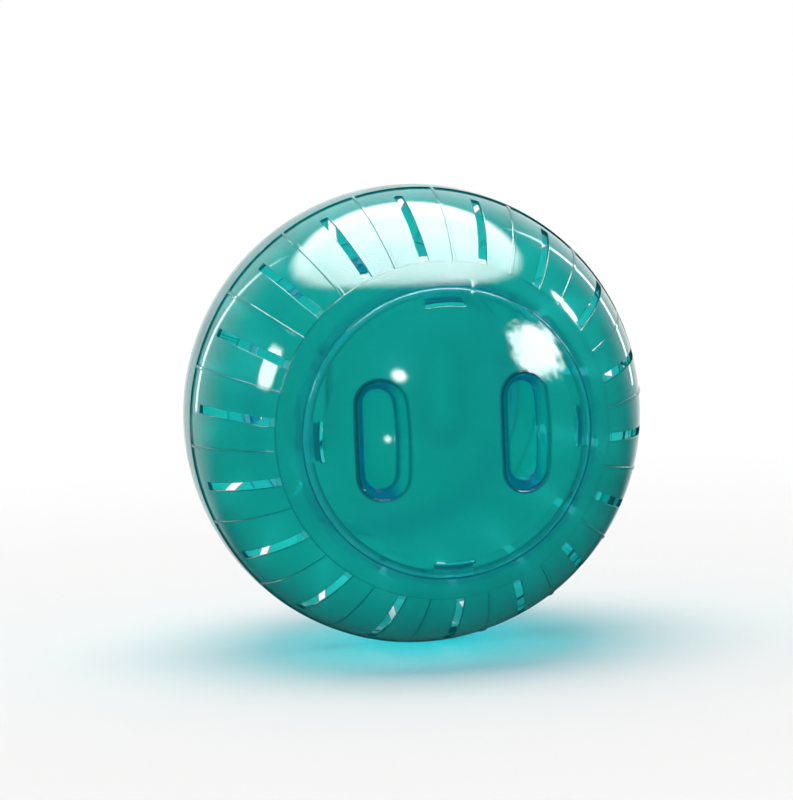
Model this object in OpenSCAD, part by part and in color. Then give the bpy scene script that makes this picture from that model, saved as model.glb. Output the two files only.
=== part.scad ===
// Hamster ball: two snapped half shells and two twist-lock lids, in millimetres.
// The origin is the ball's centre, the lids face -Y and +Y, and +Z is up.
// Each piece is drawn with its pole along local +Z and then laid over to its side.
// Angles round the pole run clockwise from the top, as seen from outside the ball.

/* [Ball] */
// Outside diameter of the ball
ball_d = 177.8; // [150:0.1:330]
// Wall thickness of the shells and the lids
wall = 2; // [1.8:0.1:3]
// How far the vented zone lies below the collar and the belt
vent_step = 0.6; // [0.4:0.1:1]
// Width of the plain collar round each door
collar_w = 9.2; // [5:0.1:14]
// Width of the plain belt at the rim of each half shell
belt_w = 9; // [8.5:0.1:14]

/* [Vents] */
// Number of vents in each half shell
vent_count = 18; // [12:1:20]
// Width of a vent
vent_w = 3.2; // [2:0.1:5]
// Distance from the seam to a vent's outer end, along the surface
vent_end = 19.5; // [15:0.5:45]
// Length of the sunk pad at a vent's inner end
pad_len = 3.4; // [2:0.1:5]
// Depth of the sunk pad
pad_depth = 0.7; // [0.4:0.1:1]
// Turn of the first vent from the top
vent_phase = -4; // [-9:1:9]
// Width of a rib between two vents
rib_w = 1.2; // [0.8:0.1:2]
// Height of a rib
rib_h = 0.45; // [0.2:0.05:0.6]

/* [Door] */
// Diameter of a lid
lid_d = 108.8; // [105:0.1:112]
// Width of the sunk ledge that a lid's edge lies on
ledge_w = 3.2; // [2.5:0.1:4]
// Thickness of the ledge
ledge_t = 1.7; // [1.2:0.1:2.5]
// Turn of a lid from free to locked
lock_turn = 20; // [18:1:24]
// Running gap between a lid and its shell
lid_gap = 0.3; // [0.2:0.05:0.5]

/* [Lid catches] */
// Span of a lug under the lid's edge
lug_span = 16; // [10:1:16]
// Thickness of a lug
lug_t = 1.6; // [1.2:0.1:2.5]
// Thickness of the short wall that carries a lug
lug_wall = 1.6; // [1.2:0.1:2]
// Span of the slit that lets a lug spring
slit_span = 18; // [17:1:22]
// Width of the slit
slit_w = 1.2; // [0.8:0.1:1.6]

/* [Finger pockets] */
// Distance of a pocket's centre from the lid's centre
pocket_x = 27.8; // [25:0.1:28]
// Width of a pocket at its mouth
pocket_w = 18.2; // [16:0.1:22]
// Length of a pocket at its mouth
pocket_len = 45.6; // [34:0.1:48]
// Depth of a pocket
pocket_depth = 8; // [6:0.1:10]
// How much narrower a pocket is at its floor, on each side
pocket_inset = 2.5; // [1:0.1:3]
// Thickness of a pocket's walls and floor
pocket_wall = 1.4; // [1.2:0.1:2.2]

/* [Index marks] */
// Turn of the mark from the top
mark_turn = 12.5; // [11:0.5:16]
// Width of a mark
mark_w = 1.8; // [1:0.1:3]
// Length of a mark on each side of the lid's edge
mark_len = 2; // [1:0.1:3]
// Height of a mark
mark_h = 0.5; // [0.3:0.1:0.8]

/* [Snap rim] */
// Number of snap tongues on each half shell
tongue_count = 6; // [4:1:9]
// Span of a tongue
tongue_span = 9; // [6:1:12]
// How far a tongue reaches into the other half shell
tongue_len = 7; // [6:0.1:7.5]
// Thickness of a tongue
tongue_t = 1.6; // [1.2:0.1:2.2]
// Height of the hook at a tongue's tip
hook_h = 0.6; // [0.4:0.1:0.8]
// Length of the hook
hook_len = 2; // [1.5:0.1:3]
// Gap between a tongue and the other half shell
snap_gap = 0.3; // [0.2:0.05:0.5]

/* [Hidden] */
$fn = 180;

// Overrun of every cut past what it cuts, and reach of the long cutters
overrun = 1;
reach = ball_d;

// Radii of the spherical faces, from the outside in
ball_r = ball_d / 2;
band_r = ball_r - vent_step;
inner_r = ball_r - wall;
ledge_top_r = inner_r - lid_gap;
ledge_low_r = ledge_top_r - ledge_t;
lug_top_r = ledge_low_r - lid_gap;
lug_low_r = lug_top_r - lug_t;
joint_r = (ball_r + inner_r) / 2;

// Distances from the door's axis
lid_r = lid_d / 2;
hole_r = lid_r + lid_gap;
joggle_r = hole_r + wall;
ledge_in_r = lid_r - ledge_w;
lug_wall_out = ledge_in_r - lid_gap;
lug_wall_in = lug_wall_out - lug_wall;
slit_in = lug_wall_in - slit_w;
lug_out = lid_r - lug_wall / 2;
notch_r = lug_out + lid_gap;
collar_r = hole_r + collar_w;

// Angles of the vents, from the pole
vent_pitch = 360 / vent_count;
pad_from = asin(collar_r / band_r) + surface_angle(vent_step / 2);
vent_from = pad_from + surface_angle(pad_len);
vent_to = 90 - surface_angle(vent_end);
pad_floor_r = band_r - pad_depth;
rib_r = band_r + rib_h;
rib_from = asin((collar_r - wall) / ball_r);
rib_to = acos(belt_w / 2 / ball_r);

// Angles of the door's catches
door_pitch = 90;
catch_gap = surface_angle(lid_gap) * ball_r / ledge_in_r;
notch_span = lug_span + 4 * catch_gap;
stop_from = lock_turn + lug_span / 2 + catch_gap;
stop_span = 2 * surface_angle(wall);

// The tongues of two like halves pass each other only at this phase
tongue_pitch = 360 / tongue_count;
tongue_phase = (lock_turn - tongue_pitch / 2) / 2;
tongue_r = inner_r - snap_gap;
tongue_low_r = tongue_r - tongue_t;
tongue_root = tongue_len - hook_len;

// A pocket's heights above the ball's centre
mouth_z = sqrt(pow(ball_r, 2) - pow(pocket_x, 2));
pocket_floor_r = ball_r - pocket_depth;
pocket_back_r = pocket_floor_r - pocket_wall;
pocket_top = ball_r + overrun;
pocket_low = mouth_z - pocket_depth - pocket_wall - pocket_w / 2;
pocket_draft = pocket_inset / pocket_depth;

shell_tint = [0.1, 0.62, 0.58, 0.75];
lid_tint = [0.16, 0.7, 0.66, 0.75];

// Angle at the ball's centre of a length along its surface
function surface_angle(length) = length / ball_r * 180 / PI;

// Half width of a pocket at a height, grown by a wall
function pocket_half(z, grow) = pocket_w / 2 + grow + (z - mouth_z) * pocket_draft;

// Meridian outlines: x is the distance from the door's axis, y the height above the seam

module shell_section(outer, inner) {
    difference() {
        circle(r = outer);
        circle(r = inner);
    }
}

module between_radii(from_r, to_r) {
    intersection() {
        children();
        translate([from_r, 0]) square([to_r - from_r, reach]);
    }
}

module between_heights(from_z, to_z) {
    intersection() {
        children();
        translate([0, from_z]) square([reach, to_z - from_z]);
    }
}

module pole_wedge(from_angle, to_angle) {
    polygon([
        [0, 0],
        [reach * sin(from_angle), reach * cos(from_angle)],
        [reach * sin(to_angle), reach * cos(to_angle)]
    ]);
}

// Solids on a meridian: a flat slab of one width, or a sector of a turned section

module at_turn(turn) {
    rotate([0, 0, 90 - turn]) children();
}

module slab(width) {
    rotate([90, 0, 0]) linear_extrude(width, center = true) children();
}

module sector(span) {
    rotate([0, 0, -span / 2]) rotate_extrude(angle = span) children();
}

// A turned face starts on a meridian, which this keeps off the door's catches
module clear_seam() {
    rotate([0, 0, door_pitch / 2]) children();
}

module mark_bar(from_r) {
    slab(mark_w)
        between_radii(from_r, from_r + mark_len)
            shell_section(ball_r + mark_h, joint_r);
}

// Half shell: wall, sunk ledge, vents, ribs, stops and snap tongues

module shell_outline() {
    between_radii(hole_r, collar_r) shell_section(ball_r, inner_r);
    between_radii(collar_r, reach) shell_section(band_r, inner_r);
    between_heights(0, belt_w) shell_section(ball_r, inner_r);
    between_radii(hole_r, joggle_r) shell_section(joint_r, ledge_low_r);
    between_radii(ledge_in_r, joggle_r) shell_section(ledge_top_r, ledge_low_r);
}

module vent() {
    slab(vent_w) {
        pole_wedge(vent_from, vent_to);
        difference() {
            pole_wedge(pad_from, vent_to);
            circle(r = pad_floor_r);
        }
    }
}

module vent_rib() {
    slab(rib_w)
        intersection() {
            shell_section(rib_r, joint_r - vent_step / 2);
            pole_wedge(rib_from, rib_to);
        }
}

module door_notch() {
    sector(notch_span)
        between_radii(ledge_in_r - overrun, notch_r)
            shell_section(reach, ledge_low_r - overrun);
}

module door_stop() {
    sector(stop_span)
        between_radii(ledge_in_r + lid_gap, joggle_r - lid_gap)
            shell_section(ledge_top_r - ledge_t / 2, lug_low_r);
}

module snap_tongue() {
    sector(tongue_span) {
        between_heights(-tongue_len, tongue_root) shell_section(tongue_r, tongue_low_r);
        between_heights(snap_gap, tongue_root) shell_section(joint_r, tongue_low_r);
        between_heights(-tongue_len, hook_len - tongue_len)
            shell_section(inner_r + hook_h, tongue_low_r);
    }
}

module snap_groove() {
    rotate_extrude()
        between_heights(tongue_len - hook_len - snap_gap, tongue_len + snap_gap)
            shell_section(inner_r + hook_h + snap_gap, tongue_r);
}

module half_shell() {
    difference() {
        union() {
            clear_seam() rotate_extrude() shell_outline();
            for (i = [0:vent_count - 1])
                at_turn(vent_phase + (i + 1 / 2) * vent_pitch) vent_rib();
        }
        for (i = [0:vent_count - 1])
            at_turn(vent_phase + i * vent_pitch) vent();
        for (turn = [0:door_pitch:359])
            at_turn(turn) door_notch();
        snap_groove();
    }
    for (turn = [0:door_pitch:359])
        at_turn(turn + stop_from + stop_span / 2) door_stop();
    for (turn = [mark_turn, mark_turn + 180])
        at_turn(turn) mark_bar(hole_r + lid_gap);
    for (i = [0:tongue_count - 1])
        at_turn(tongue_phase + i * tongue_pitch) snap_tongue();
}

// Lid: cap, finger pockets, slit tabs with their lugs, and marks

module pocket_form(grow) {
    low_half = pocket_half(pocket_low, grow);
    top_half = pocket_half(pocket_top, grow);
    straight = pocket_len - pocket_w;
    for (side = [-1, 1])
        translate([0, side * straight / 2, pocket_low])
            cylinder(h = pocket_top - pocket_low, r1 = low_half, r2 = top_half);
    slab(straight)
        polygon([
            [-low_half, pocket_low],
            [low_half, pocket_low],
            [top_half, pocket_top],
            [-top_half, pocket_top]
        ]);
}

module pocket_tub() {
    intersection() {
        pocket_form(pocket_wall);
        translate([-pocket_x, 0, 0])
            difference() {
                sphere(r = joint_r);
                sphere(r = pocket_back_r);
            }
    }
}

module pocket_hollow() {
    difference() {
        pocket_form(0);
        translate([-pocket_x, 0, 0]) sphere(r = pocket_floor_r);
    }
}

module lug() {
    sector(lug_span) {
        between_radii(lug_wall_in, lug_wall_out) shell_section(joint_r, lug_low_r);
        between_radii(lug_wall_in, lug_out) shell_section(lug_top_r, lug_low_r);
    }
}

module slit() {
    sector(slit_span)
        between_radii(slit_in, lug_wall_in) shell_section(reach, inner_r - overrun);
}

module lid_cap() {
    clear_seam()
        intersection() {
            difference() {
                sphere(r = ball_r);
                sphere(r = inner_r);
            }
            cylinder(h = reach, r = lid_r);
        }
}

module lid() {
    difference() {
        union() {
            lid_cap();
            for (side = [0, 180])
                rotate([0, 0, side]) translate([pocket_x, 0, 0]) pocket_tub();
            for (turn = [mark_turn, mark_turn + 180])
                at_turn(turn) mark_bar(lid_r - lid_gap - mark_len);
        }
        for (side = [0, 180])
            rotate([0, 0, side]) translate([pocket_x, 0, 0]) pocket_hollow();
        for (turn = [0:door_pitch:359])
            at_turn(turn) slit();
    }
    for (turn = [0:door_pitch:359])
        at_turn(turn) lug();
}

// The four pieces in place: the front lid is free to lift, the back lid is locked

module on_front() {
    rotate([90, 0, 0]) children();
}

module on_back() {
    rotate([90, 0, 180]) children();
}

module front_half_shell() {
    color(shell_tint) on_front() half_shell();
}

module back_half_shell() {
    color(shell_tint) on_back() rotate([0, 0, lock_turn]) half_shell();
}

module front_lid() {
    color(lid_tint) on_front() lid();
}

module back_lid() {
    color(lid_tint) on_back() lid();
}

front_half_shell();
back_half_shell();
front_lid();
back_lid();
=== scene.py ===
from math import asin, cos, degrees, pi, radians, sin, sqrt

import bmesh
import bpy
import numpy as np
from mathutils import Matrix, Vector
from mathutils.geometry import delaunay_2d_cdt


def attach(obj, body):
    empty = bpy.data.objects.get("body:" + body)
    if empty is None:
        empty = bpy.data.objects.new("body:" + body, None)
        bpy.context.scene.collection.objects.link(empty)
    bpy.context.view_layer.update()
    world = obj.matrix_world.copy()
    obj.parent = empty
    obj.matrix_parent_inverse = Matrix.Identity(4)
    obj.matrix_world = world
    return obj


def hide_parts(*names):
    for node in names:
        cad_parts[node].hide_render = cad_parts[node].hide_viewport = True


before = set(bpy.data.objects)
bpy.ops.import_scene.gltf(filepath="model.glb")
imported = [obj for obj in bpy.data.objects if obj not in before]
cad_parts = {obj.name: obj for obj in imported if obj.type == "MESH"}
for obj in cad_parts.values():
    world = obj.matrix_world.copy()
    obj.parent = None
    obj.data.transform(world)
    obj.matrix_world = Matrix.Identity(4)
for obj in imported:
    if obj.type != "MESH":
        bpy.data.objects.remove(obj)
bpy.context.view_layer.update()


# The half shells: each half of the ball is one moulding of clear tinted plastic, 2 mm thick.
# Its plain collar and belt stand proud of the vented zone, where ribs run between the vents.
# All is drawn in millimetres with the pole along +Z, and laid over to its side at the end.
ball_r, band_r, inner_r = 88.9, 88.3, 86.9
joint_r, pad_r, rib_r, groove_r = 87.9, 87.6, 88.75, 87.8
hole_r, joggle_r, ledge_in_r, notch_r = 54.7, 56.7, 51.2, 53.9
ledge_top_r, ledge_low_r, lug_low_r = 86.6, 84.9, 83.0
collar_r, vent_edge_r, vent_back_edge_r = 63.9, 0.25, 0.2
vent_count, vent_phase, vent_half = 18, -4.0, 1.6
vent_from, vent_to = 48.74, 77.43
lock_turn = 20.0
far_off = 9.0
mm_per_degree = ball_r * pi / 180


def edge_drop(gap, size):
    """How far a rounded edge falls below its face, at a distance from the cut beside it."""
    return size - sqrt(size ** 2 - (size - gap) ** 2) if gap < size else 0.0


def blend_at(value, stops):
    """The share between the steps of a moulded edge, given as pairs of place and share."""
    return float(np.interp(value, [s[0] for s in stops], [s[1] for s in stops]))


# Steps along the meridian, in degrees from the pole
collar_step = [(45.825, 1), (45.935, 0.97), (46.0, 0.87), (46.3, 0.13), (46.36, 0.03), (46.47, 0)]
pad_step = [(46.5, 0), (46.535, 0.06), (46.56, 0.3), (46.58, 0.8), (46.68, 1)]
belt_step = [(84.0, 0), (84.12, 0.05), (84.155, 0.3), (84.185, 0.75), (84.23, 0.96), (84.35, 1)]
groove_step = [(85.1, 0), (85.18, 0.15), (85.21, 0.85), (85.3, 1)]
groove_step += [(86.78, 1), (86.87, 0.85), (86.9, 0.15), (86.98, 0)]
seam_drop, seam_rise = {89.93: 0.07, 89.98: 0.25}, {89.93: 0.05, 89.98: 0.2}

# Steps across, in millimetres from the middle of a pad or a rib
pad_side = [(1.4, 1), (1.56, 0.85), (1.6, 0.35), (1.67, 0.06), (1.85, 0)]
rib_side = [(0.0, 1), (0.45, 1), (0.56, 0.82), (0.61, 0.35), (0.68, 0.07), (0.85, 0)]

# Rows of corners in degrees from the pole, close together at each edge
polar_rows = [44.67, 45.3] + [s[0] for s in collar_step + pad_step] + [47.4, 48.1, 48.58, 48.695]
polar_rows += list(np.linspace(vent_from, vent_to, 19)) + [77.475, 77.59, 79.1, 80.8, 82.4, 83.5]
polar_rows += [s[0] for s in belt_step] + [s[0] for s in groove_step] + [87.9, 88.9, 89.83]
polar_rows += list(seam_drop)
hole_rows = [i for i, p in enumerate(polar_rows) if vent_from - 1e-6 <= p <= vent_to + 1e-6]

# Columns of corners, in millimetres from the vent's or the rib's middle, or as shares between the two
half_columns = [("vent", d) for d in (0, 0.8, 1.4, 1.56, 1.6, 1.67, 1.85)]
half_columns += [("plain", t) for t in (0.2, 0.4, 0.6, 0.8)]
half_columns += [("rib", e) for e in (0.85, 0.68, 0.61, 0.56, 0.45, 0)]
columns = [(-1, c) for c in half_columns[:0:-1]] + [(1, c) for c in half_columns]


def column_angle(column, from_axis):
    """Turn of a column from the vent's middle, in degrees, at a distance from the ball's axis."""
    side, (kind, value) = column
    last_vent = degrees(asin(pad_side[-1][0] / from_axis))
    first_rib = 180 / vent_count - degrees(asin(rib_side[-1][0] / from_axis))
    if kind == "vent":
        return side * degrees(asin(value / from_axis))
    if kind == "rib":
        return side * (180 / vent_count - degrees(asin(value / from_axis)))
    return side * (last_vent + value * (first_rib - last_vent))


def column_gaps(column):
    """Distances of a column from the vent's middle and from the rib's middle, where it is near one."""
    kind, value = column[1]
    return (value if kind == "vent" else far_off), (value if kind == "rib" else far_off)


def vent_rounding(polar, from_vent, size):
    """How far a face falls at the vent's rounded edge."""
    beyond = max(vent_from - polar, polar - vent_to, 0) * mm_per_degree
    if beyond > 0 and from_vent == far_off:
        return 0.0
    return edge_drop(max(beyond, from_vent - vent_half, 0), size)


def outer_radius(polar, column):
    """Height of the outside face: collar, vented zone, rib, sunk pad, belt and the vent's round edge."""
    from_vent, from_rib = column_gaps(column)
    low = band_r + (rib_r - band_r) * blend_at(from_rib, rib_side)
    proud = max(blend_at(polar, collar_step), blend_at(polar, belt_step))
    height = low + (ball_r - low) * proud
    if polar <= vent_from:
        height -= (band_r - pad_r) * blend_at(polar, pad_step) * blend_at(from_vent, pad_side)
    return height - vent_rounding(polar, from_vent, vent_edge_r) - seam_drop.get(polar, 0)


def inner_radius(polar, column):
    """Height of the inside face, with the snap groove near the rim."""
    height = inner_r + (groove_r - inner_r) * blend_at(polar, groove_step)
    from_vent, _ = column_gaps(column)
    return height + vent_rounding(polar, from_vent, vent_back_edge_r) + seam_rise.get(polar, 0)


def on_sphere(radius, polar, column):
    from_axis = radius * sin(radians(polar))
    turn = radians(column_angle(column, from_axis))
    return (from_axis * cos(turn), from_axis * sin(turn), radius * cos(radians(polar)))


def vented_sector():
    """One eighteenth of the vented zone and the belt, from rib to rib, with its vent cut through."""
    points, faces = [], []
    for radius_at in (outer_radius, inner_radius):
        points += [on_sphere(radius_at(p, c), p, c) for p in polar_rows for c in columns]
    wide, layer = len(columns), len(columns) * len(polar_rows)
    cut = [j for j, c in enumerate(columns) if c[1][0] == "vent" and c[1][1] <= vent_half]
    open_cells = {(i, j) for i in hole_rows[:-1] for j in cut[:-1]}
    for i in range(len(polar_rows) - 1):
        for j in range(wide - 1):
            if (i, j) not in open_cells:
                a, b = i * wide + j, (i + 1) * wide + j
                faces += [(a, a + 1, b + 1, b), (layer + a, layer + b, layer + b + 1, layer + a + 1)]
    first, last = hole_rows[0], hole_rows[-1]
    ring = [(first, j) for j in cut] + [(i, cut[-1]) for i in hole_rows[1:]]
    ring += [(last, j) for j in cut[-2::-1]] + [(i, cut[0]) for i in hole_rows[-2:0:-1]]
    ring = [i * wide + j for i, j in ring]
    for a, b in zip(ring, ring[1:] + ring[:1]):
        faces.append((a, b, layer + b, layer + a))
    rim = [(len(polar_rows) - 1) * wide + j for j in range(wide)]
    for a, b in zip(rim, rim[1:]):
        faces.append((a, b, layer + b, layer + a))
    return points, faces


def inside(places, loops):
    """True for each place that lies inside the first loop and outside the others."""
    odd = np.zeros(len(places), bool)
    x, y = places[:, 0], places[:, 1]
    for loop in loops:
        for (ax, ay), (bx, by) in zip(loop, np.roll(loop, -1, 0)):
            if ay != by:
                odd ^= ((ay > y) != (by > y)) & (x < (bx - ax) * (y - ay) / (by - ay) + ax)
    return odd


def even_corners(loops, spacing):
    """Corners of a triangle grid between the loops, none of them close to a loop."""
    edge = np.concatenate(loops)
    low, high = edge.min(0), edge.max(0)
    grid = []
    for k, y in enumerate(np.arange(low[1], high[1], spacing * sqrt(3) / 2)):
        grid += [(x, y) for x in np.arange(low[0] + spacing / 2 * (k % 2), high[0], spacing)]
    grid = np.array(grid)
    grid = grid[inside(grid, loops)] if len(grid) else grid.reshape(-1, 2)
    if len(grid) == 0:
        return grid
    nearest = []
    for part in np.array_split(edge, 12):
        apart = (grid[:, None] - part[None]).transpose(2, 0, 1)
        nearest.append(np.min(np.hypot(*apart), 1))
    return grid[np.min(nearest, 0) > spacing * 0.62]


class Moulding:
    """Corners and faces of a moulding that is drawn as rings round its pole or round an opening."""

    def __init__(self):
        self.points, self.faces = [], []

    def ring(self, places):
        self.points += [tuple(p) for p in places]
        return list(range(len(self.points) - len(places), len(self.points)))

    def band(self, *rings):
        """Faces from ring to ring. All have one count of corners."""
        for one, two in zip(rings, rings[1:]):
            for k in range(len(one)):
                n = (k + 1) % len(one)
                self.faces.append((one[k], one[n], two[n], two[k]))
        return rings[-1]

    def fill(self, radius, outline, openings=(), spacing=2.2):
        """Spherical face inside the outline and outside the openings, with even corners between."""
        rings = (outline, *openings)
        loops = [np.array([self.points[i][:2] for i in ring]) for ring in rings]
        index = [i for ring in rings for i in ring]
        grid = even_corners(loops, spacing)
        index += self.ring([(x, y, sqrt(radius ** 2 - x * x - y * y)) for x, y in grid])
        flat = [Vector(self.points[i][:2]) for i in index]
        edges, start = [], 0
        for ring in rings:
            edges += [(start + k, start + (k + 1) % len(ring)) for k in range(len(ring))]
            start += len(ring)
        made = delaunay_2d_cdt(flat, edges, [], 0, 1e-7)
        corners = np.array([tuple(v) for v in made[0]])
        triangles = np.array([tuple(f) for f in made[2]])
        kept = triangles[inside(corners[triangles].mean(1), loops)]
        back = [index[source[0]] for source in made[3]]
        self.faces += [tuple(back[i] for i in t) for t in kept]


def plan_point(from_axis, turn, radius):
    """A corner on the sphere of a radius, at a distance and a turn from the pole, clockwise from +Y."""
    t = radians(turn)
    return (from_axis * sin(t), from_axis * cos(t), sqrt(radius ** 2 - from_axis ** 2))


lug_count, notch_half, notch_mid_r = 4, 8.65, 52.5
collar_rings, collar_back_ring, ledge_spacing = (60.6, 58.6, 56.6, 55.6), 59.2, 1.4
edge_round, edge_mid, ledge_round, ledge_mid = 0.3, 0.09, 0.2, 0.06
corner_round, hollow_mid = 0.25, 0.08


def notched_ring(grow, radius):
    """The ledge's inner edge: a ring with four notches, grown outward from the ledge."""
    half, pitch = notch_half + degrees(grow / notch_mid_r), 360 / lug_count
    share = [(ledge_in_r + grow, t) for t in np.linspace(half - pitch, -half, 42)]
    share += [(notch_r + grow, t) for t in np.linspace(-half, half, 14)]
    return [plan_point(r, t + pitch * i, radius) for i in range(lug_count) for r, t in share]


def door_ring():
    """The collar inward of the vented zone, the door's edge and the sunk ledge with its four notches."""
    m = Moulding()
    turns = [(i, column) for i in range(vent_count) for column in columns[:-1]]

    def circle(radius, from_axis):
        """A ring on the columns of the vented zone."""
        places = []
        for i, column in turns:
            turn = radians(90 - vent_phase + i * 360 / vent_count + column_angle(column, from_axis))
            places.append((from_axis * cos(turn), from_axis * sin(turn), sqrt(radius ** 2 - from_axis ** 2)))
        return m.ring(places)

    first_row = sin(radians(polar_rows[0]))
    top = m.band(
        circle(ball_r, ball_r * first_row),
        *[circle(ball_r, r) for r in (*collar_rings, hole_r + edge_round)],
        circle(ball_r - edge_mid, hole_r + edge_mid),
        circle(ball_r - edge_round, hole_r),
        circle(ledge_top_r + corner_round, hole_r),
        circle(ledge_top_r + ledge_mid, hole_r - ledge_mid),
        circle(ledge_top_r, hole_r - corner_round),
    )
    edge = [m.ring(notched_ring(grow, radius)) for grow, radius in (
        (ledge_round, ledge_top_r), (ledge_mid, ledge_top_r - ledge_mid), (0, ledge_top_r - ledge_round),
        (0, ledge_low_r + ledge_round), (ledge_mid, ledge_low_r + ledge_mid), (ledge_round, ledge_low_r))]
    m.band(*edge)
    m.fill(ledge_top_r, top, [edge[0]], ledge_spacing)
    foot = circle(ledge_low_r, joggle_r - edge_round)
    m.fill(ledge_low_r, foot, [edge[-1]], ledge_spacing)
    m.band(
        foot,
        circle(ledge_low_r + edge_mid, joggle_r - edge_mid),
        circle(ledge_low_r + edge_round, joggle_r),
        circle(inner_r - edge_round, joggle_r),
        circle(inner_r - hollow_mid, joggle_r + hollow_mid),
        circle(inner_r, joggle_r + edge_round),
        circle(inner_r, collar_back_ring),
        circle(inner_r, inner_r * first_row),
    )
    return m.points, m.faces


def mesh_of(name, points, faces):
    made = bpy.data.meshes.new(name)
    made.from_pydata([tuple(p) for p in points], [], faces)
    return made


def object_of(mesh):
    made = bpy.data.objects.new(mesh.name, mesh)
    bpy.context.scene.collection.objects.link(made)
    return made


class Field:
    """A node's socket in an expression. An operator adds the Math node that works it out."""

    def __init__(self, nodes, socket):
        self.nodes, self.socket = nodes, socket

    def math(self, operation, a, b):
        return self.nodes.node("ShaderNodeMath", {"operation": operation}, i0=a, i1=b)

    def __add__(self, other):
        return self.math("ADD", self, other)

    def __sub__(self, other):
        return self.math("SUBTRACT", self, other)

    def __rsub__(self, other):
        return self.math("SUBTRACT", other, self)

    def __mul__(self, other):
        return self.math("MULTIPLY", self, other)

    def __pow__(self, other):
        return self.math("POWER", self, other)

    def __abs__(self):
        return self.nodes.node("ShaderNodeMath", {"operation": "ABSOLUTE"}, i0=self)

    __radd__, __rmul__ = __add__, __mul__


class Nodes:
    """The nodes of one tree. The node method adds a node, sets it and links its sockets."""

    def __init__(self, tree):
        self.tree = tree
        self.tree.nodes.clear()

    def node(self, kind, settings=(), output=0, **values):
        made = self.tree.nodes.new(kind)
        for key, value in dict(settings).items():
            if key == "stops":
                ramp = made.color_ramp
                while len(ramp.elements) < len(value):
                    ramp.elements.new(0.5)
                for element, (place, shade) in zip(ramp.elements, value):
                    element.position, element.color = place, (shade, shade, shade, 1)
            else:
                setattr(made, key, value)
        for key, value in values.items():
            socket = made.inputs[int(key[1:])] if key[1:].isdigit() else made.inputs[key.replace("_", " ")]
            if isinstance(value, Field):
                self.tree.links.new(value.socket, socket)
            else:
                socket.default_value = value
        return Field(self, made.outputs[output]) if len(made.outputs) else made


def round_the_pole():
    """Geometry Nodes that set copies of a part round the pole and weld them where they meet."""
    tree = bpy.data.node_groups.new("round_the_pole", "GeometryNodeTree")
    inputs = {"Part": "Geometry", "Count": "Int", "First turn": "Float"}
    inputs.update({"Weld": "Float", "Plastic": "Material"})
    for name, kind in inputs.items():
        tree.interface.new_socket(name, in_out="INPUT", socket_type="NodeSocket" + kind)
    tree.interface.new_socket("Moulding", in_out="OUTPUT", socket_type="NodeSocketGeometry")
    g = Nodes(tree)
    part, count, first_turn, weld, plastic = (g.node("NodeGroupInput", output=i) for i in range(len(inputs)))
    pitch = g.node("ShaderNodeMath", {"operation": "DIVIDE"}, i0=2 * pi, i1=count)
    index = g.node("GeometryNodeInputIndex")
    turn = g.node("ShaderNodeMath", {"operation": "MULTIPLY_ADD"}, i0=index, i1=pitch, i2=first_turn)
    copies = g.node("GeometryNodeInstanceOnPoints", Points=g.node("GeometryNodePoints", Count=count),
                    Instance=part, Rotation=g.node("ShaderNodeCombineXYZ", Z=turn))
    real = g.node("GeometryNodeRealizeInstances", Geometry=copies)
    whole = g.node("GeometryNodeMergeByDistance", Geometry=real, Distance=weld)
    g.node("NodeGroupOutput", Moulding=g.node("GeometryNodeSetMaterial", Geometry=whole, Material=plastic))
    return tree


pole_tree = round_the_pole()
weld_gap = 0.0004


def plain_mesh(host):
    """The mesh that an object's modifiers make. The object goes."""
    bpy.context.view_layer.update()
    made = bpy.data.meshes.new_from_object(host.evaluated_get(bpy.context.evaluated_depsgraph_get()))
    old = host.data
    bpy.data.objects.remove(host)
    bpy.data.meshes.remove(old)
    return made


def repeat_round(points, faces, count, first_turn, plastic):
    """A part set count times round the pole, as a plain mesh. Turns run clockwise from the top."""
    host = object_of(mesh_of("part", points, faces))
    copier = host.modifiers.new("copies", "NODES")
    copier.node_group = pole_tree
    wanted = {"Count": count, "First turn": radians(90 - first_turn), "Weld": weld_gap, "Plastic": plastic}
    for item in pole_tree.interface.items_tree:
        if item.name in wanted:
            copier[item.identifier] = wanted[item.name]
    return plain_mesh(host)


def welded(meshes, name):
    """Parts of one moulding joined, with shared corners merged and faces turned outward."""
    work = bmesh.new()
    for mesh in meshes:
        work.from_mesh(mesh)
    bmesh.ops.remove_doubles(work, verts=work.verts, dist=weld_gap)
    bmesh.ops.recalc_face_normals(work, faces=work.faces)
    made = bpy.data.meshes.new(name)
    work.to_mesh(made)
    work.free()
    return made


def fused(body, additions):
    """A moulding with its lugs, tongues or marks grown on to it as one skin."""
    host, guest = object_of(body), object_of(additions)
    join = host.modifiers.new("join", "BOOLEAN")
    join.operation, join.solver, join.object = "UNION", "MANIFOLD", guest
    made = plain_mesh(host)
    bpy.data.objects.remove(guest)
    return made


def sector_block(sections, span):
    """A closed solid: a meridian outline of distance and height, swept through a span about +X."""
    steps = max(3, int(span / 1.5))
    points, faces, n = [], [], len(sections)
    for k in range(steps + 1):
        t = radians(-span / 2 + span * k / steps)
        points += [(r * cos(t), r * sin(t), z) for r, z in sections]
    for k in range(steps):
        for i in range(n):
            j = (i + 1) % n
            a, b = k * n, (k + 1) * n
            faces.append((a + i, a + j, b + j, b + i))
    faces += [tuple(range(n)), tuple(range(steps * n, steps * n + n))[::-1]]
    return points, faces


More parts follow.
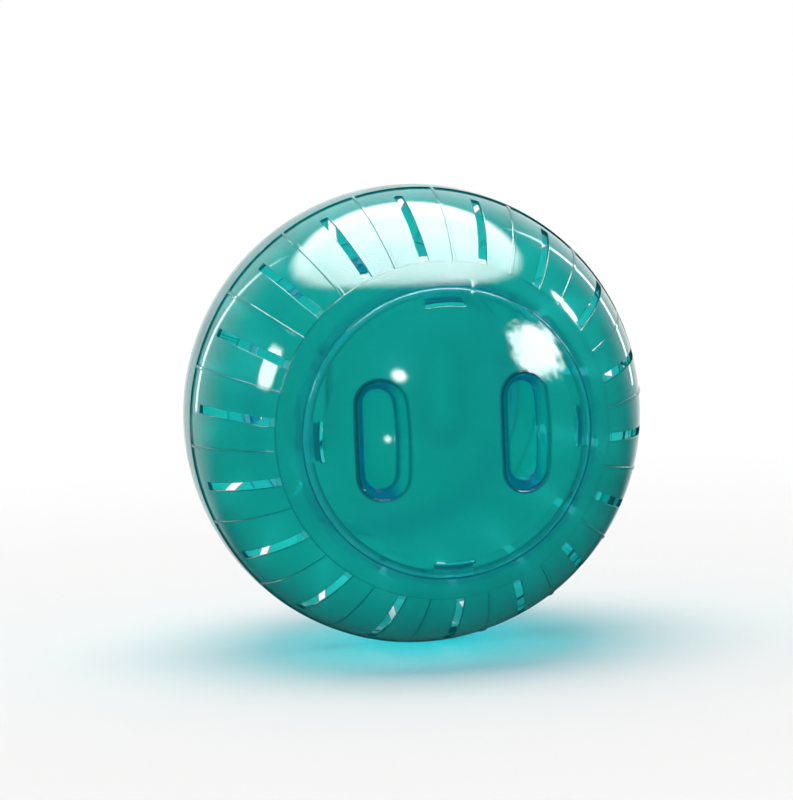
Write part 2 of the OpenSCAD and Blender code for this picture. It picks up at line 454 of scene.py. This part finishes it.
def arc_outline(corners, steps=4):
    """Outline from sphere arcs: each corner gives a sphere's radius and either a distance r or a height z."""
    def place(radius, key, value):
        other = sqrt(radius ** 2 - value ** 2)
        return (value, other) if key == "r" else (other, value)

    outline = []
    for one, two in zip(corners, corners[1:] + corners[:1]):
        outline.append(place(*one))
        if one[0] == two[0]:
            along = 0 if one[1] == "r" else 1
            start, end = place(*one)[along], place(*two)[along]
            outline += [place(*one[:2], start + (end - start) * k / steps) for k in range(1, steps)]
    return outline


mark_count, mark_turn, mark_half_w, mark_len, mark_h, mark_edge = 2, 12.5, 0.9, 2, 0.5, 0.2


def mark_bar(from_r):
    """A raised index bar that starts at a distance from the pole, with soft edges."""
    points, faces, top = [], [], ball_r + mark_h
    for height, ease in ((joint_r, 0), (top - mark_edge, 0), (top, mark_edge)):
        ends, side = (from_r + ease, from_r + mark_len - ease), mark_half_w - ease
        for x, y in ((ends[0], -side), (ends[1], -side), (ends[1], side), (ends[0], side)):
            points.append((x, y, sqrt(height ** 2 - x * x - y * y)))
    for k in (0, 4):
        faces += [(k + i, k + (i + 1) % 4, k + 4 + (i + 1) % 4, k + 4 + i) for i in range(4)]
    return points, faces + [(3, 2, 1, 0), (8, 9, 10, 11)]


stop_top_r, stop_in, stop_out, stop_span, stop_turn = 85.75, 51.5, 56.4, 2.6, 29.6
tongue_r, tongue_low_r, tongue_root, tongue_len = 86.6, 85.0, 5.0, 7.0
hook_r, hook_from, hook_full, hook_to, seam_gap = 87.5, 4.7, 5.0, 6.2, 0.3
tongue_count, tongue_span, tongue_turn = 6, 9, -5


def half_shell_mesh(plastic):
    sectors = repeat_round(*vented_sector(), vent_count, vent_phase, plastic)
    body = welded([sectors, mesh_of("ring", *door_ring())], "half_shell")
    stop = sector_block(arc_outline([
        (stop_top_r, "r", stop_in), (stop_top_r, "r", stop_out),
        (lug_low_r, "r", stop_out), (lug_low_r, "r", stop_in)]), stop_span)
    tongue = sector_block(arc_outline([
        (joint_r, "z", tongue_root), (joint_r, "z", seam_gap), (tongue_r, "z", seam_gap),
        (tongue_r, "z", -hook_from), (hook_r, "z", -hook_full), (hook_r, "z", -hook_to),
        (tongue_r, "z", -tongue_len), (tongue_low_r, "z", -tongue_len),
        (tongue_low_r, "z", tongue_root)]), tongue_span)
    catches = [
        repeat_round(*stop, lug_count, stop_turn, plastic),
        repeat_round(*tongue, tongue_count, tongue_turn, plastic),
        repeat_round(*mark_bar(hole_r + edge_round), mark_count, mark_turn, plastic)]
    return fused(body, welded(catches, "shell_catches"))


sharp_angle, face_reach, least_along = 52, 0.0008, 0.75


def numbers_of(items, key, width, kind=float):
    """One value or vector for each item of a mesh, as an array."""
    values = np.empty(len(items) * width, kind)
    items.foreach_get(key, values)
    return values.reshape(-1, width) if width > 1 else values


def finished(mesh, radii, plastic):
    """One plastic and smooth shading: true normals on the spherical faces, weighted ones on the edges."""
    mesh.materials.clear()
    mesh.materials.append(plastic)
    mesh.polygons.foreach_set("material_index", [0] * len(mesh.polygons))
    mesh.polygons.foreach_set("use_smooth", [True] * len(mesh.polygons))
    mesh.set_sharp_from_angle(angle=radians(sharp_angle))
    host = object_of(mesh)
    host.modifiers.new("weights", "WEIGHTED_NORMAL").keep_sharp = True
    made = plain_mesh(host)
    normals = numbers_of(made.corner_normals, "vector", 3)
    places = numbers_of(made.vertices, "co", 3)
    index = numbers_of(made.loops, "vertex_index", 1, int)
    distance = np.linalg.norm(places, axis=1)
    on_face = np.min(np.abs(distance[:, None] - np.array(radii)[None]), 1) < face_reach
    radial = places[index] / distance[index, None]
    along = np.sum(radial * normals, 1)
    change = on_face[index] & (np.abs(along) > least_along)
    normals[change] = radial[change] * np.sign(along[change])[:, None]
    made.normals_split_custom_set(normals.tolist())
    return made


def laid_over(mesh, name, side, turn=0.0):
    """A moulding in metres and in its place: side -1 faces -Y, and side 1 is turned round to face +Y."""
    made = mesh.copy()
    made.name = name
    over = Matrix.Rotation(pi / 2, 4, "X")
    if side > 0:
        over = Matrix.Rotation(pi, 4, "Z") @ over
    made.transform(Matrix.Scale(0.001, 4) @ over @ Matrix.Rotation(radians(turn), 4, "Z"))
    return object_of(made)


def nodes_of(owner):
    """The node tree of a material, a lamp or the world, emptied of its first nodes."""
    owner.use_nodes = True
    return Nodes(owner.node_tree)


def smooth(f, value, start, end):
    """0 up to the start and 1 beyond the end, with a soft step between."""
    return f.node("ShaderNodeMapRange", {"interpolation_type": "SMOOTHSTEP"}, Value=value, i1=start, i2=end)


def reach(f, distance, start, end):
    """The same step along a distance, with its ends in millimetres."""
    return smooth(f, distance, start / 1000, end / 1000)


def blend(f, share, one, two):
    """A colour between two."""
    one, two = (c if isinstance(c, Field) else (*c, 1) for c in (one, two))
    return f.node("ShaderNodeMix", {"data_type": "RGBA"}, output=2, i0=share, i6=one, i7=two)


def noise(f, place, seed, scale, detail, roughness):
    return f.node("ShaderNodeTexNoise", {"noise_dimensions": "4D"}, Vector=place, W=seed,
                  Scale=scale, Detail=detail, Roughness=roughness)


plastic_tint, deep_tint, lamp_tint = (0.02, 0.8, 0.65), (0.85, 0.84, 0.905), (0.5, 0.96, 0.95)
# Pad and ledge colours are painted highlights, paler where light is caught; the edge colour is painted shade
# on walls and steps.
pad_painted_highlight, ledge_painted_highlight, edge_painted_shade = (0.24, 0.97, 1.0), (0.5, 0.93, 0.9), (0.0, 0.3, 0.26)
wave_height, peel_share, clearness, deep_density = 0.00016, 0.03, 0.82, 1000.0
gloss_roughness, scuff_roughness, haze = 0.05, 0.04, 0.17


def clear_tinted(name, seed, skin):
    """Tinted clear plastic. Moulding leaves faint waves in its faces, and handling leaves fine scuffs."""
    material = bpy.data.materials.new(name)
    f = nodes_of(material)
    place = f.node("ShaderNodeTexCoord", output=3)
    waves = noise(f, place, seed, 32.0, 1.5, 0.45)
    peel = noise(f, place, seed + 3, 420.0, 1.0, 0.5)
    scuff = noise(f, place, seed + 7, 55.0, 6.0, 0.72)
    worn = f.node("ShaderNodeValToRGB", {"stops": [(0.52, 0.0), (0.74, 1.0)]}, Fac=scuff)
    bumps = f.node("ShaderNodeBump", Strength=1.0, Distance=wave_height, Height=waves + peel * peel_share)

    # A point's distances from the ball's middle and from the door's axis, and how level its face lies
    from_middle = f.node("ShaderNodeVectorMath", {"operation": "LENGTH"}, output=1, i0=place)
    flat = f.node("ShaderNodeVectorMath", {"operation": "MULTIPLY"}, i0=place, i1=(1, 0, 1))
    from_pole = f.node("ShaderNodeVectorMath", {"operation": "LENGTH"}, output=1, i0=flat)
    outward = f.node("ShaderNodeVectorMath", {"operation": "NORMALIZE"}, i0=place)
    facing = f.node("ShaderNodeTexCoord", output=1)
    level = abs(f.node("ShaderNodeVectorMath", {"operation": "DOT_PRODUCT"}, output=1, i0=facing, i1=outward))

    # The mould's core is less polished than its cavity, so the inside face is hazy beyond the door's rim
    door_rim = reach(f, from_pole, 46.5, 47.5) * reach(f, from_pole, 58.0, 57.5)
    off_core = abs(from_middle - inner_r / 1000)
    core_side = reach(f, off_core, 0.3, 0.1) * (1 - smooth(f, level, 0.97, 0.85)) * (1 - door_rim)
    plastic = f.node(
        "ShaderNodeBsdfPrincipled", Base_Color=skin(f, place, from_middle, from_pole, level),
        Transmission_Weight=clearness, IOR=1.5, Normal=bumps,
        Roughness=worn * scuff_roughness + core_side * haze + gloss_roughness)
    through = f.node("ShaderNodeBsdfTransparent", Color=(*lamp_tint, 1))
    lamp_ray = f.node("ShaderNodeLightPath", output=1)
    surface = f.node("ShaderNodeMixShader", i0=lamp_ray, i1=plastic, i2=through)
    depth = f.node("ShaderNodeVolumeAbsorption", Color=(*deep_tint, 1), Density=deep_density)
    f.node("ShaderNodeOutputMaterial", Surface=surface, Volume=depth)
    return material


def shell_skin(f, place, from_middle, from_pole, level):
    """Tint with painted highlights on the pads and ledge, and painted shade on the vents' walls and the
    collar's step.
    """
    off_pad = abs(from_middle - pad_r / 1000)
    on_pad = f.node("ShaderNodeMath", {"operation": "LESS_THAN"}, i0=off_pad, i1=0.04 / 1000)
    on_ledge = reach(f, from_pole, 58.0, 57.5) * reach(f, from_middle, ledge_top_r + 0.22, ledge_top_r + 0.05)
    on_wall = smooth(f, level, 0.9, 0.6) * reach(f, from_pole, collar_r + 0.3, collar_r + 0.9)
    off_step = abs(from_pole - collar_r / 1000)
    on_step = reach(f, off_step, 0.3, 0.1) * reach(f, from_middle, band_r - 0.2, band_r - 0.1)
    # Painted shade: the vents' walls and the collar's step are darker.
    shade = blend(f, on_wall * 0.8 + on_step * 0.7, plastic_tint, edge_painted_shade)
    # Painted highlights: the pads and the ledge are paler.
    return blend(f, on_ledge, blend(f, on_pad, shade, pad_painted_highlight), ledge_painted_highlight)


plastic = clear_tinted("shell_plastic", 1.0, shell_skin)
shell_radii = [ball_r, band_r, rib_r, pad_r, inner_r, groove_r, ledge_top_r, ledge_low_r]
half_shell = finished(half_shell_mesh(plastic), shell_radii, plastic)
front_half = laid_over(half_shell, "front_half_moulding", -1)
back_half = laid_over(half_shell, "back_half_moulding", 1, lock_turn)
for piece, node in ((front_half, "front_half_shell"), (back_half, "back_half_shell")):
    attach(piece, "shell")
    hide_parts(node)


# The lids: one clear tinted cap moulding for each door, with two finger pockets sunk in its face.
# Four slits free short tabs in it, and a lug under each tab hooks below the shell's ledge.
# It is drawn as rings round its rim, slits and pockets, with spherical faces filled between.
lid_r, slit_in, slit_out, slit_half_span = 54.4, 48.1, 49.3, 9.0
lug_face, lug_wall_out, lug_out, lug_top_r, lug_span = 49.33, 50.9, 53.6, 84.6, 16
pocket_x, pocket_half_w, pocket_spine, pocket_draft = 27.8, 9.1, 13.7, 0.3125
mouth_z, pocket_floor_r, pocket_back_r, pocket_wall = 84.44, 80.9, 79.5, 1.4
rim_round, rim_back_round, slit_round = 0.35, 0.3, 0.2
mouth_round, floor_round, mouth_back_round, floor_back_round = 0.7, 1.1, 0.9, 2.0
wall_rows, wall_back_rows = (87.2, 85.6, 84.0, 83.0), (85.0, 83.8, 82.6)


def round_over(size, radius, steps=3, offset=0.0):
    """Offsets and heights of a rounded edge, from a sphere's face down on to the wall."""
    turns = [pi / 2 * k / steps for k in range(steps + 1)]
    return [(offset + size * (1 - sin(t)), radius - size * (1 - cos(t))) for t in turns]


def round_in(size, radius, steps=3, offset=0.0):
    """Offsets and heights of a hollow corner, from the wall down on to a sphere's face."""
    turns = [pi / 2 * k / steps for k in range(steps + 1)]
    return [(offset - size * (1 - cos(t)), radius + size * (1 - sin(t))) for t in turns]


def slit_ring(turn, grow, radius):
    """Ring round one slit, grown outward into the cap."""
    half = slit_half_span + degrees(grow / ((slit_in + slit_out) / 2))
    arc = [(slit_out + grow, t) for t in np.linspace(-half, half, 24)]
    arc += [(slit_in - grow, t) for t in np.linspace(half, -half, 24)]
    return [plan_point(r, t + turn, radius) for r, t in arc]


def pocket_ring(side, offset, radius):
    """Ring round a finger pocket, on the sphere of a radius. The pocket's walls lean in as they go down."""
    arcs = [(1, t) for t in np.linspace(pi, 0, 34)] + [(-1, t) for t in np.linspace(0, -pi, 34)]
    stations = []
    for (end, t), (next_end, _) in zip(arcs, arcs[1:] + arcs[:1]):
        stations.append((end * pocket_spine, t))
        if next_end != end:
            stations += [(end * pocket_spine * (1 - k / 7), t) for k in range(1, 14)]
    ring = []
    for along, t in stations:
        z = mouth_z
        for _ in range(14):
            out = pocket_half_w + (z - mouth_z) * pocket_draft + offset
            x, y = side * pocket_x + out * cos(t), along + out * sin(t)
            z = sqrt(radius ** 2 - x * x - y * y)
        ring.append((x, y, z))
    return ring


def cap():
    """The lid's cap with its rim, slits and pockets, as one closed skin."""
    m = Moulding()

    def rim(offset, radius):
        return m.ring([plan_point(lid_r + offset, t, radius) for t in np.arange(0, 360, 1.2)])

    over, under = round_over(rim_round, ball_r), round_over(rim_back_round, -inner_r)
    rings = [rim(-o, r) for o, r in over] + [rim(-o, -r) for o, r in under[::-1]]
    m.band(*rings)
    outside, inside_edges = [], []
    slit_rows = round_over(slit_round, ball_r, 2)
    slit_rows += [(o, -r) for o, r in round_over(slit_round, -inner_r, 2)[::-1]]
    for i in range(lug_count):
        slits = [m.ring(slit_ring(i * 360 / lug_count, o, r)) for o, r in slit_rows]
        m.band(*slits)
        outside.append(slits[0])
        inside_edges.append(slits[-1])
    for side in (-1, 1):
        rows = round_over(mouth_round, ball_r, 5) + [(0, r) for r in wall_rows]
        rows += round_in(floor_round, pocket_floor_r, 5)
        front = [m.ring(pocket_ring(side, o, r)) for o, r in rows]
        m.band(*front)
        m.fill(pocket_floor_r, front[-1])
        rows = round_over(mouth_back_round, inner_r, 5, pocket_wall)
        rows += [(pocket_wall, r) for r in wall_back_rows]
        rows += round_in(floor_back_round, pocket_back_r, 6, pocket_wall)
        back = [m.ring(pocket_ring(side, o, r)) for o, r in rows]
        m.band(*back)
        m.fill(pocket_back_r, back[-1])
        outside.append(front[0])
        inside_edges.append(back[0])
    m.fill(ball_r, rings[0], outside)
    m.fill(inner_r, rings[-1], inside_edges)
    return m.points, m.faces


def lid_mesh(plastic):
    body = welded([mesh_of("cap", *cap())], "lid")
    bevel, chamfer = 0.3, 0.2
    lug = sector_block(arc_outline([
        (joint_r, "r", lug_face), (joint_r, "r", lug_wall_out),
        (lug_top_r + bevel, "r", lug_wall_out), (lug_top_r, "r", lug_wall_out + bevel),
        (lug_top_r, "r", lug_out - chamfer), (lug_top_r - chamfer, "r", lug_out),
        (lug_low_r + bevel, "r", lug_out), (lug_low_r, "r", lug_out - bevel),
        (lug_low_r, "r", lug_face + chamfer), (lug_low_r + chamfer, "r", lug_face)]), lug_span)
    lugs = repeat_round(*lug, lug_count, 0, plastic)
    marks = repeat_round(*mark_bar(lid_r - mark_len - edge_round), mark_count, mark_turn, plastic)
    return fused(body, welded([lugs, marks], "lid_catches"))


# Rim and lug colours are painted highlights, pale and blue; slit, pocket edge and pocket wall colours are
# painted shade and reflection.
rim_painted_highlight, slit_painted_shade, lug_painted_highlight = (0.06, 0.98, 0.88), (0.0, 0.3, 0.28), (0.15, 0.95, 1.0)
pocket_edge_painted_shade, pocket_wall_painted_shade = (0.0, 0.44, 0.42), (0.012, 0.34, 0.53)


def lid_skin(f, place, from_middle, from_pole, level):
    """Tint with painted highlights, paler at the rim and bluer on the lugs, and painted shade by the slits
    and pocket edges.
    """
    on_rim = reach(f, from_pole, lid_r - 1.5, lid_r - 1.1)
    by_slit = smooth(f, level, 0.9, 0.6) * reach(f, from_pole, 47.7, 47.9) * reach(f, from_pole, 51.4, 51.2)
    on_lug = reach(f, from_middle, inner_r - 0.2, inner_r - 0.4) * reach(f, from_pole, 48.5, 49.0)
    in_pocket = reach(f, from_pole, 47.5, 47.0)
    on_edge = smooth(f, level, 0.995, 0.95) * smooth(f, level, 0.5, 0.75) * in_pocket
    # Painted highlights at the rim and on the lugs, painted shade by the slits and at the pockets' edges.
    tint = blend(f, by_slit, blend(f, on_rim, plastic_tint, rim_painted_highlight), slit_painted_shade)
    tint = blend(f, on_edge, blend(f, on_lug, tint, lug_painted_highlight), pocket_edge_painted_shade)

    # Painted shade and reflection: the front lid's pocket walls are darker and bluer, but for those on each
    # pocket's +X side
    x, y = (f.node("ShaderNodeSeparateXYZ", output=i, Vector=place) for i in (0, 1))
    off_centre = f.node("ShaderNodeMath", {"operation": "SIGN"}, i0=x) * (-pocket_x / 1000) + x
    on_wall = smooth(f, level, 0.97, 0.85) * in_pocket * reach(f, off_centre, 8.5, 3.0) * reach(f, y, 0, -30)
    return blend(f, on_wall, tint, pocket_wall_painted_shade)


clear_lid = clear_tinted("lid_plastic", 5.0, lid_skin)
lid = finished(lid_mesh(clear_lid), [ball_r, inner_r, pocket_floor_r, pocket_back_r], clear_lid)
front_lid = laid_over(lid, "front_lid_moulding", -1)
back_lid = laid_over(lid, "back_lid_moulding", 1)
for piece, node, body in ((front_lid, "front_lid", "front_lid"), (back_lid, "back_lid", "back_lid")):
    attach(piece, body)
    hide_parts(node)


# The stage: a pale floor that the ball rests on, which turns into an even white away from it.
# In its gloss the plastic mirrors a room that is bright behind the ball and dim in front of it.
white, floor_colour, floor_half = (1, 1, 1, 1), (0.86, 0.86, 0.86, 1), 9
white_from, white_full = 0.1, 0.6
left_light, right_light = 0.7, 0.1


def ray_kinds(f):
    """1 for the rays that see the stage, straight or through the plastic, and 1 for mirrored rays."""
    camera_ray, glossy_ray, clear_ray = (f.node("ShaderNodeLightPath", output=i) for i in (0, 3, 6))
    return f.node("ShaderNodeMath", {"operation": "MAXIMUM"}, i0=camera_ray, i1=clear_ray), glossy_ray


def room_light(f, behind):
    """Brightness of the mirrored room, by how far behind the ball a direction points."""
    return f.node("ShaderNodeMapRange", {"interpolation_type": "SMOOTHSTEP"}, Value=behind,
                  i1=0.45, i2=0.95, i3=0.03, i4=1.0)


pale_floor = bpy.data.materials.new("pale_floor")
f = nodes_of(pale_floor)
place = f.node("ShaderNodeTexCoord", output=3)
from_ball = f.node("ShaderNodeVectorMath", {"operation": "LENGTH"}, output=1, i0=place)
direction = f.node("ShaderNodeVectorMath", {"operation": "NORMALIZE"}, i0=place)
behind = f.node("ShaderNodeSeparateXYZ", output=1, Vector=direction)
seen, mirrored = ray_kinds(f)
matt = f.node("ShaderNodeBsdfPrincipled", Base_Color=floor_colour, Roughness=0.9)
room = f.node("ShaderNodeEmission", Color=white, Strength=room_light(f, behind))
near = f.node("ShaderNodeMixShader", i0=mirrored, i1=matt, i2=room)
away = smooth(f, from_ball, white_from, white_full) * seen
glow = f.node("ShaderNodeEmission", Color=white, Strength=1.0)
f.node("ShaderNodeOutputMaterial", Surface=f.node("ShaderNodeMixShader", i0=away, i1=near, i2=glow))

floor_plan = [(x * floor_half, y * floor_half) for x, y in ((-1, -1), (1, -1), (1, 1), (-1, 1))]
floor_mesh = mesh_of("floor", [(x, y, -ball_r / 1000) for x, y in floor_plan], [(0, 1, 2, 3)])
floor_mesh.materials.append(pale_floor)
object_of(floor_mesh)

world = bpy.data.worlds.new("studio")
bpy.context.scene.world = world
f = nodes_of(world)
direction = f.node("ShaderNodeTexCoord", output=0)
side, behind = (f.node("ShaderNodeSeparateXYZ", output=i, Vector=direction) for i in (0, 1))
seen, mirrored = ray_kinds(f)
side_light = f.node("ShaderNodeMapRange", Value=side, i1=-1.0, i2=1.0, i3=left_light, i4=right_light)
soft = f.node("ShaderNodeBackground", Color=white, Strength=side_light)
room = f.node("ShaderNodeBackground", Color=white, Strength=room_light(f, behind))
backdrop = f.node("ShaderNodeBackground", Color=white, Strength=1.0)
around = f.node("ShaderNodeMixShader", i0=mirrored, i1=soft, i2=room)
f.node("ShaderNodeOutputWorld", Surface=f.node("ShaderNodeMixShader", i0=seen, i1=around, i2=backdrop))


# The lamps: soft boxes over and beside the ball give its broad highlights, with soft edges as from cloth.
# Only the overhead box also lights matt surfaces. The rest show in the gloss, where the photo has highlights.
def towards(azimuth, elevation, distance):
    """A place at a distance from the ball's middle. Azimuth 0 is the front, and rises towards +X."""
    a, e = radians(azimuth), radians(elevation)
    return Vector((sin(a) * cos(e), -cos(a) * cos(e), sin(e))) * distance


def soft_box(name, azimuth, elevation, distance, width, height, brightness,
             turn=0.0, lights=True, power=2.0, fade=0.35, ragged=0.0, colour=(1, 1, 1)):
    """A lamp that faces the ball, as bright as given in a mirror. Its cloth fades towards a rounded edge."""
    lamp = bpy.data.lights.new(name, "AREA")
    lamp.shape, lamp.size, lamp.size_y = "RECTANGLE", width, height
    lamp.energy = pi * width * height
    f = nodes_of(lamp)
    on_cloth = f.node("ShaderNodeNewGeometry", output=5)
    across, along = (f.node("ShaderNodeSeparateXYZ", output=i, Vector=on_cloth) for i in (0, 1))
    folds = f.node("ShaderNodeTexNoise", {"noise_dimensions": "3D"}, Vector=on_cloth,
                   Scale=5.0, Detail=3.0, Roughness=0.6)
    from_centre = (abs(across * 2.0 - 1.0) ** power + abs(along * 2.0 - 1.0) ** power) ** (1 / power)
    shine = f.node("ShaderNodeMapRange", {"interpolation_type": "SMOOTHSTEP"},
                   Value=from_centre + (folds - 0.5) * ragged, i1=1.0, i2=1.0 - fade, i3=0.0, i4=brightness)
    f.node("ShaderNodeOutputLight", Surface=f.node("ShaderNodeEmission", Color=(*colour, 1), Strength=shine))
    made = bpy.data.objects.new(name, lamp)
    place = towards(azimuth, elevation, distance)
    faced = place.to_track_quat("Z", "Y").to_matrix().to_4x4()
    made.matrix_world = Matrix.Translation(place) @ faced @ Matrix.Rotation(radians(turn), 4, "Z")
    made.visible_camera = made.visible_transmission = False
    made.visible_diffuse = lights
    bpy.context.scene.collection.objects.link(made)


soft_box("overhead_box", 170, 85, 1.6, 1.9, 1.3, 3.0, power=4)
soft_box("overhead_panel", 168.7, 75.7, 1.65, 2.8, 2.35, 10.5,
         lights=False, fade=0.2, ragged=0.1, colour=(1, 0.93, 0.92))
soft_box("right_panel", 62, 26, 1.6, 0.9, 0.76, 22.0, turn=-15, lights=False, power=3, fade=0.5, ragged=1.1)
soft_box("front_panel", -16.5, 24.6, 1.6, 0.3, 0.24, 32.0, turn=-35, lights=False, fade=0.9, ragged=0.4)
soft_box("low_panel", -23.4, -5.7, 0.5, 0.05, 0.05, 20.0, lights=False, fade=1.0, ragged=0.4)
soft_box("left_panel", -91, 21, 1.6, 0.34, 0.56, 18.0, lights=False, power=4, ragged=0.2)
soft_box("side_panel", 101, 29, 1.6, 0.14, 0.4, 18.0, lights=False, power=4)
soft_box("left_strip", -148, 8, 1.6, 0.1, 2.2, 4.0, lights=False)
soft_box("right_strip", 138, 8, 1.6, 0.1, 2.2, 4.0, lights=False)


# The camera: fitted to the photo by the circles of the lid, the collar and the far door.
# Its lens is given in pixels of the photo, in which the ball's middle lies right of and below the frame's.
azimuth, elevation, roll, lens_px, distance = -10.779, 6.725, 2.281, 4525.0, 1.7552
frame_h, sensor_mm = 800, 36.0
frame_middle, ball_middle = (396.5, 400), (412.186, 413.119)
camera = bpy.data.objects.new("camera", bpy.data.cameras.new("camera"))
bpy.context.scene.collection.objects.link(camera)
bpy.context.scene.camera = camera
back = towards(azimuth, elevation, 1.0)
across = Vector((cos(radians(azimuth)), sin(radians(azimuth)), 0))
up = back.cross(across)
right = across * cos(radians(roll)) - up * sin(radians(roll))
over = up * cos(radians(roll)) + across * sin(radians(roll))
px = distance / lens_px
aim = right * (frame_middle[0] - ball_middle[0]) * px + over * (ball_middle[1] - frame_middle[1]) * px
place = back * distance
look = (place - aim).normalized()
right = (right - look * right.dot(look)).normalized()
over = look.cross(right)
camera.matrix_world = Matrix.Translation(place) @ Matrix((right, over, look)).transposed().to_4x4()
camera.data.lens, camera.data.sensor_width = sensor_mm * lens_px / frame_h, sensor_mm
camera.data.clip_start, camera.data.clip_end = 0.05, 50

bpy.context.scene.view_settings.view_transform = "Standard"
